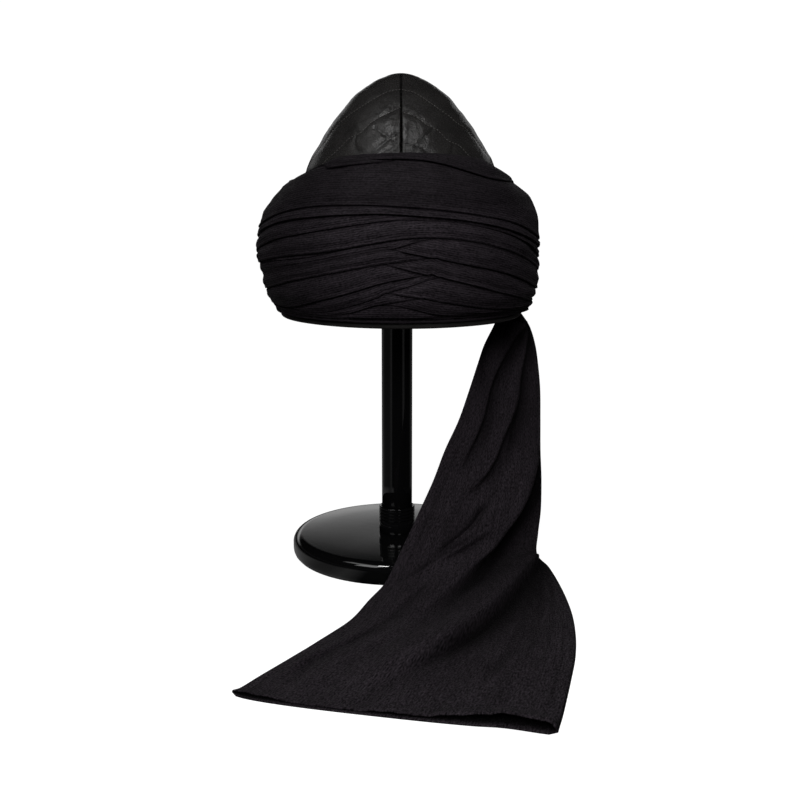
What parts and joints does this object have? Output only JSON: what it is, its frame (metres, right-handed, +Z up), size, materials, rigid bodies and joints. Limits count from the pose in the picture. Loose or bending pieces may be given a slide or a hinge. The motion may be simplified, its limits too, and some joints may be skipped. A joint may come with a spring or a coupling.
{
  "type": "ottoman turban on a display stand",
  "caption": "Pointed quilted leather cap with a thick wound cloth ring and a long loose tail, held up on a round stand with a pole and disc foot.",
  "frame": {"origin": "middle of the underside of the stand's disc, on the floor", "axes": "+Z up along the pole, -Y towards the front of the turban, +X to the side where the tail hangs"},
  "size_m": [0.2348, 0.4336, 0.387],
  "materials": {
    "stand_gloss": "high gloss black",
    "cap_leather": "satin black with stitched quilting",
    "binding_leather": "satin black edge strip",
    "wrap_cloth": "matte black fine-ribbed crepe",
    "tail_cloth": "matte black fine-ribbed crepe"
  },
  "bodies": {
    "root": {"stand_base": "stand_gloss", "stand_collar": "stand_gloss", "stand_post": "stand_gloss", "cap_front_left": "cap_leather", "cap_front_right": "cap_leather", "cap_back_left": "cap_leather", "cap_back_right": "cap_leather", "edge_binding": "binding_leather", "turban_wrap": "wrap_cloth", "tail": "tail_cloth"}
  },
  "joints": []
}
